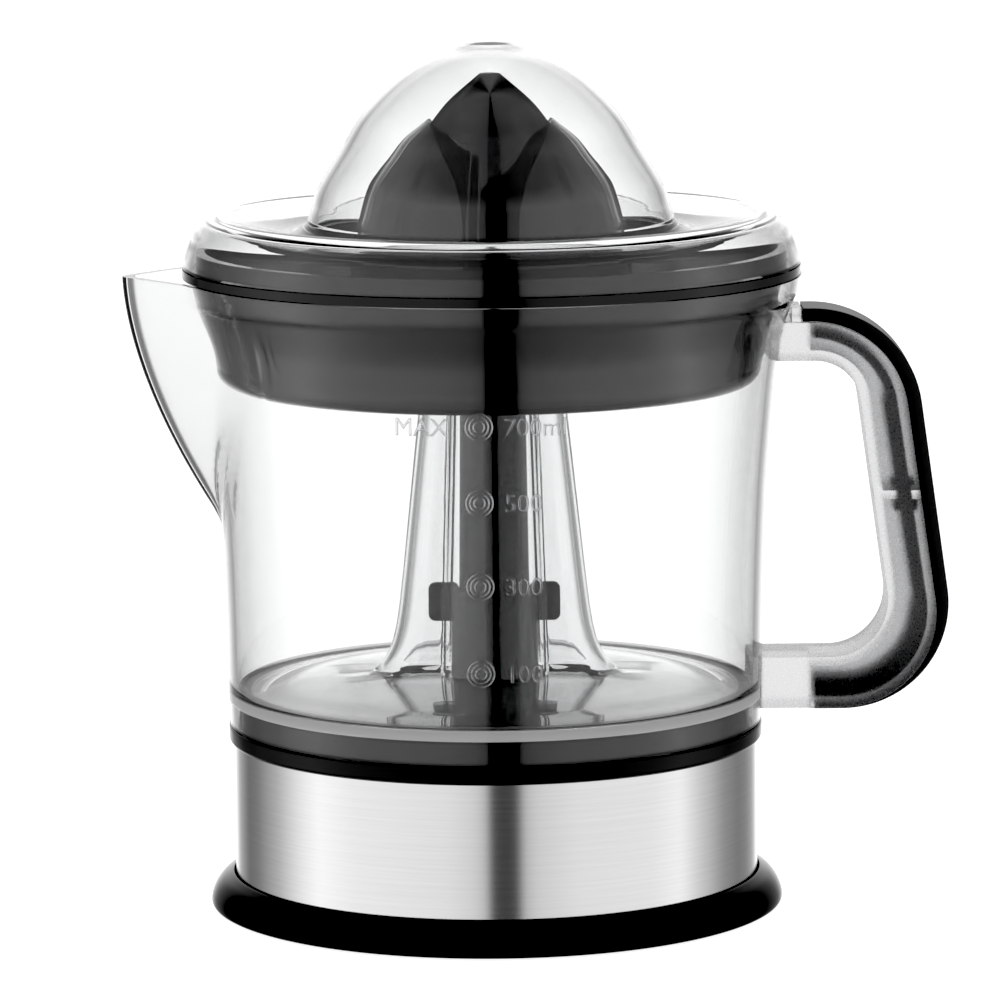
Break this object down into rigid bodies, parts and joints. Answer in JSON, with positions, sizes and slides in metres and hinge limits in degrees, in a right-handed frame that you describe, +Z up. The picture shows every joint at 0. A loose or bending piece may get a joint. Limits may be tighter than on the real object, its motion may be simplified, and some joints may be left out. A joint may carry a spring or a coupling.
{
  "type": "citrus press juicer",
  "caption": "Electric citrus press: a motor base with a drive tower, a clear jug with spout and handle, a strainer, two reaming cones and a domed lid.",
  "frame": {"origin": "on the vertical drive axis, level with the underside of the feet", "axes": "+Z up the drive axis; -X towards the spout, +X towards the handle; -Y towards the front with the volume marks"},
  "size_m": [0.1862, 0.14, 0.197],
  "materials": {
    "black_gloss": "gloss black moulding",
    "steel": "brushed around the band",
    "housing_grey": "dark grey moulding",
    "charcoal": "polished charcoal moulding",
    "clear_body": "clear moulded plastic",
    "clear_handle": "clear plastic, frosted inside",
    "soft_grip": "satin black soft grip",
    "rubber": "matt",
    "plain_steel": "plain zinc-plated",
    "bronze": "sintered bronze",
    "copper": "enamelled winding",
    "white_nylon": "natural nylon",
    "magnet": "sintered ferrite",
    "switch_black": "matt"
  },
  "bodies": {
    "base": {"foot_ring": "black_gloss", "bottom_cover": "switch_black", "rubber_feet": "rubber", "cover_screws": "plain_steel", "steel_band": "steel", "top_housing": "housing_grey", "cord_gland": "rubber", "motor_lower_cup": "plain_steel", "motor_upper_cup": "plain_steel", "coil_bobbin": "white_nylon", "coil_winding": "copper", "rotor_bushes": "bronze", "gear_axle": "plain_steel", "gearbox_plate": "plain_steel", "gearbox_screws": "plain_steel", "journal_bushes": "bronze", "shaft_bushes": "bronze", "shaft_seal": "rubber", "return_spring": "plain_steel", "microswitch": "switch_black", "terminal_block": "white_nylon"},
    "output_gear": {"output_gear": "white_nylon"},
    "reduction_gear": {"reduction_gear": "white_nylon"},
    "rotor": {"rotor_magnet": "magnet", "rotor_shaft": "plain_steel", "motor_pinion": "white_nylon"},
    "drive_shaft": {"drive_shaft": "plain_steel", "shaft_clip": "plain_steel"},
    "switch_plunger": {"switch_plunger": "white_nylon"},
    "jug": {"jug": "clear_body", "handle": "clear_handle", "handle_grip": "soft_grip"},
    "strainer": {"strainer": "charcoal"},
    "hub_bush": {"hub_bush": "white_nylon"},
    "small_cone": {"small_cone": "charcoal"},
    "large_cone": {"large_cone": "charcoal"},
    "lid": {"lid": "clear_body"}
  },
  "joints": [
    {"name": "cone_spin", "type": "hinge", "parent": "base", "child": "output_gear", "pos_m": [0, 0, 0.033], "axis": [0, 0, 1], "continuous": true},
    {"name": "reduction_spin", "type": "hinge", "parent": "base", "child": "reduction_gear", "pos_m": [-0.01354, 0.01981, 0.03], "axis": [0, 0, 1], "continuous": true},
    {"name": "rotor_spin", "type": "hinge", "parent": "base", "child": "rotor", "pos_m": [0, 0.033, 0.015], "axis": [0, 0, 1], "continuous": true},
    {"name": "press", "type": "slide", "parent": "output_gear", "child": "drive_shaft", "axis": [0, 0, 1], "range_m": [-0.002, 0], "stiffness_N_per_m": 600, "springref_m": 0.004, "deforming": ["return_spring"]},
    {"name": "switch_press", "type": "slide", "parent": "base", "child": "switch_plunger", "axis": [0, 0, 1], "range_m": [-0.002, 0]},
    {"name": "jug_lift", "type": "slide", "parent": "base", "child": "jug", "axis": [0, 0, 1], "range_m": [0, 0.11]},
    {"name": "strainer_lift", "type": "slide", "parent": "jug", "child": "strainer", "axis": [0, 0, 1], "range_m": [0, 0.045]},
    {"name": "bush_spin", "type": "hinge", "parent": "strainer", "child": "hub_bush", "pos_m": [0, 0, 0.125], "axis": [0, 0, 1], "continuous": true},
    {"name": "cone_press", "type": "slide", "parent": "hub_bush", "child": "small_cone", "axis": [0, 0, 1], "range_m": [-0.002, 0]},
    {"name": "large_cone_lift", "type": "slide", "parent": "small_cone", "child": "large_cone", "axis": [0, 0, 1], "range_m": [0, 0.04]},
    {"name": "lid_lift", "type": "slide", "parent": "strainer", "child": "lid", "axis": [0, 0, 1], "range_m": [0, 0.08]}
  ],
  "couplings": [
    {"joint": "reduction_spin", "follows": "cone_spin", "ratio": -2},
    {"joint": "rotor_spin", "follows": "cone_spin", "ratio": 5},
    {"joint": "bush_spin", "follows": "cone_spin", "ratio": 1},
    {"joint": "switch_press", "follows": "press", "ratio": 1},
    {"joint": "cone_press", "follows": "press", "ratio": 1},
    {"joint": "large_cone_lift", "follows": "lid_lift", "ratio": 0.5}
  ]
}
